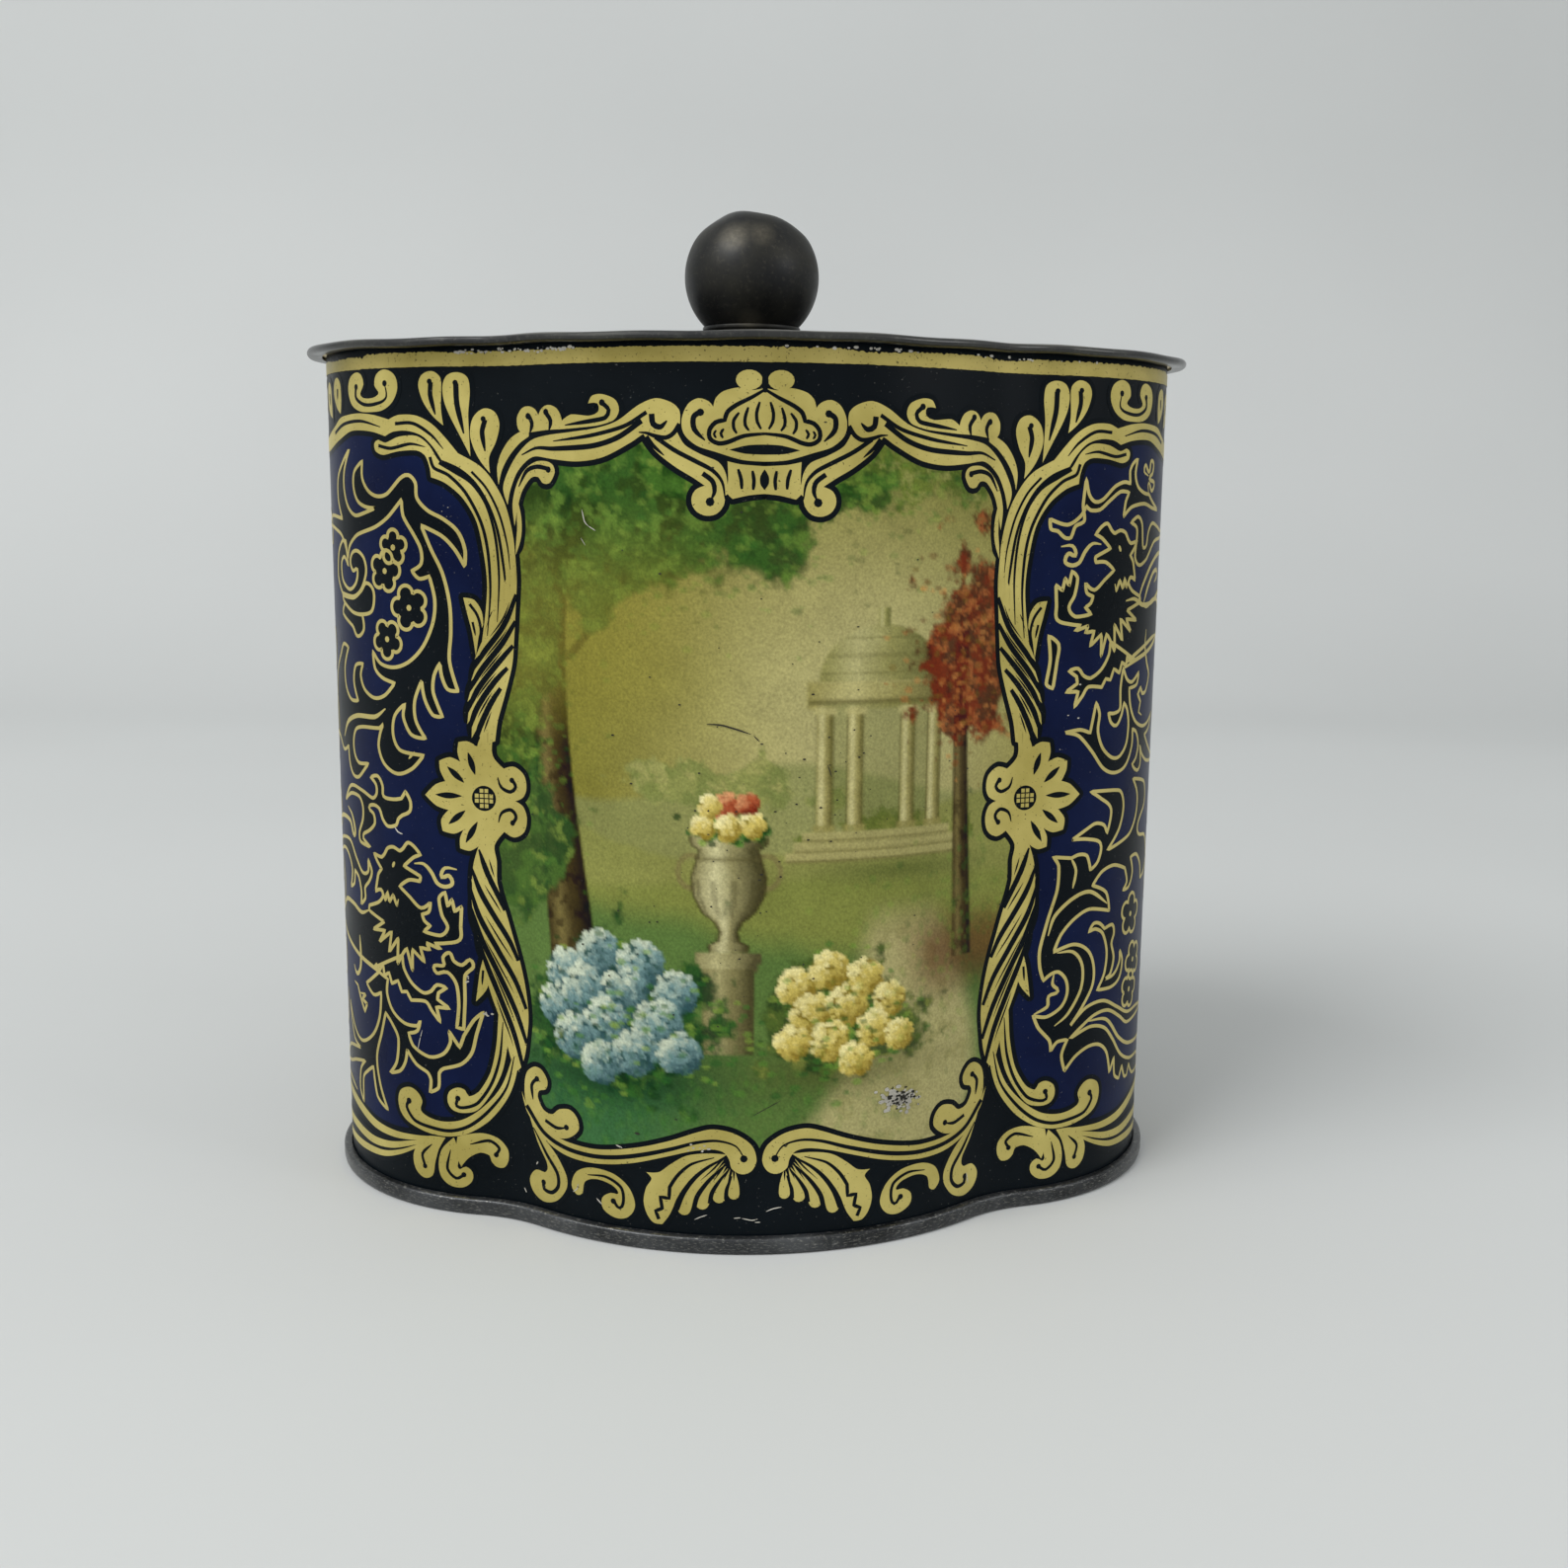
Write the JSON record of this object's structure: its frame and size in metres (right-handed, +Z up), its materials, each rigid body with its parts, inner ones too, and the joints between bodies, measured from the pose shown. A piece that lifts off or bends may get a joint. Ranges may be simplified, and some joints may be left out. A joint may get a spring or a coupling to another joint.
{
  "type": "bobbin box",
  "caption": "Lobed tinplate box with printed walls, a folded foot seam and a slip lid with a round knob, for keeping bobbins.",
  "frame": {"origin": "centre of the tin on the plane it stands on", "axes": "+Z up through the knob, +X to the right end, -Y to the front"},
  "size_m": [0.1356, 0.0956, 0.1502],
  "materials": {
    "printed_tin": "dark printed and varnished tinplate with gold and coloured print",
    "foot_tin": "darkened worn tinplate",
    "lid_tin": "darkened tinplate, satin, worn bright at the edge",
    "collar_tin": "lacquered tinplate",
    "knob_tin": "darkened tinplate with blotchy patina",
    "screw_steel": "plain steel"
  },
  "bodies": {
    "box": {"body_wall": "printed_tin", "base_pan": "foot_tin"},
    "lid": {"lid_cover": "lid_tin", "lid_plug_ring": "collar_tin", "knob_ball": "knob_tin", "knob_collar": "knob_tin", "knob_insert_nut": "screw_steel", "screw_washer": "screw_steel", "knob_screw": "screw_steel"}
  },
  "joints": [
    {"name": "lid_lift", "type": "slide", "parent": "box", "child": "lid", "axis": [0, 0, 1], "range_m": [0, 0.1]}
  ]
}
